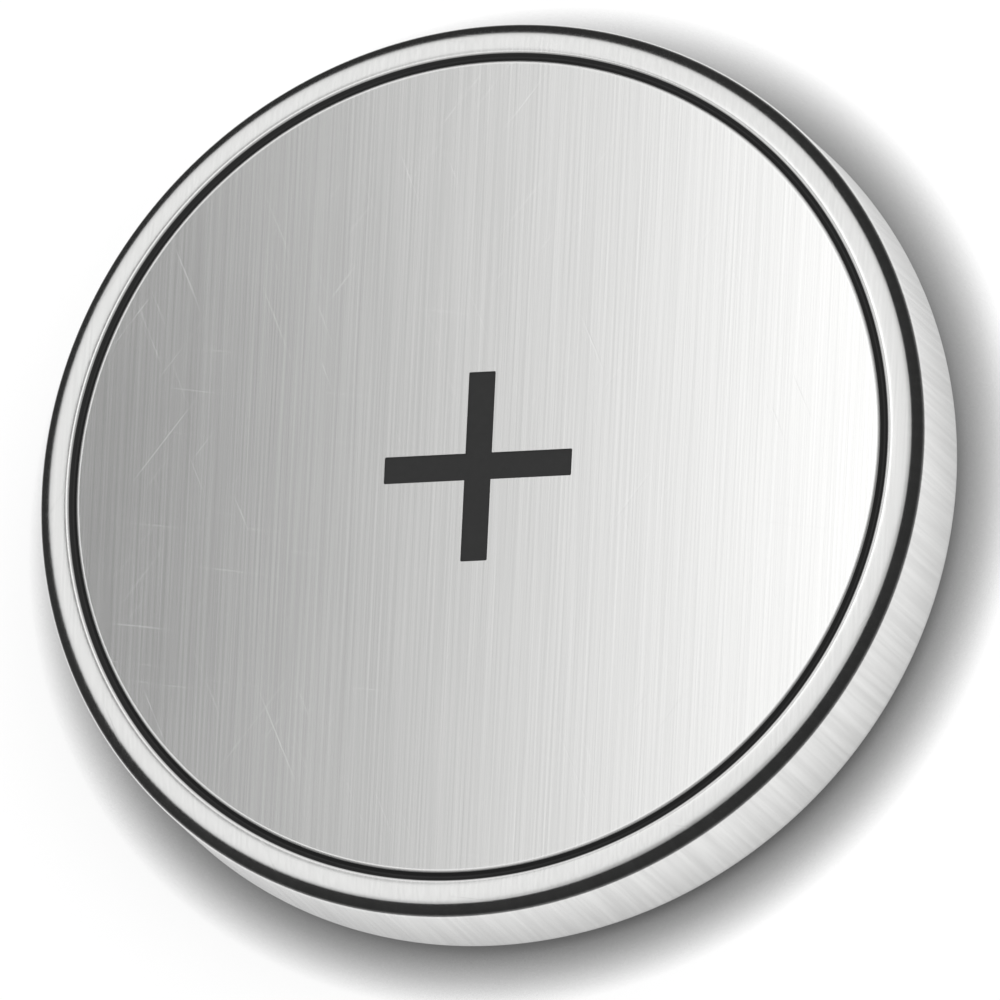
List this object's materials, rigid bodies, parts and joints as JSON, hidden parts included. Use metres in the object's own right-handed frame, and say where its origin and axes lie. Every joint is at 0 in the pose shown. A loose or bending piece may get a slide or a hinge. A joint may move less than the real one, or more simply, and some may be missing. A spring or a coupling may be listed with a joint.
{
  "type": "lithium coin cell",
  "caption": "Round lithium coin cell: a steel can crimped over a gasket and a stepped cap, with a plus sign and a coined ring on its flat positive face.",
  "frame": {"origin": "centre of the negative cap's outer face, on the surface that the cell stands on", "axes": "+Z along the cell's axis, out of the positive face; +X and +Y along the bars of the plus sign"},
  "size_m": [0.02, 0.02, 0.0032],
  "materials": {
    "can_steel": "satin nickel plate",
    "plus_enamel": "matt enamel",
    "cap_steel": "fine matt stainless steel",
    "gasket_polypropylene": "moulded",
    "grid_steel": "bare expanded steel",
    "cathode_mix": "pressed powder",
    "separator_felt": "non-woven",
    "lithium_foil": "rolled foil"
  },
  "bodies": {
    "root": {"positive_can": "can_steel", "plus_enamel": "plus_enamel", "negative_cap": "cap_steel", "gasket": "gasket_polypropylene", "collector_grid": "grid_steel", "cathode_pellet": "cathode_mix", "separator": "separator_felt", "lithium_disc": "lithium_foil"}
  },
  "joints": []
}
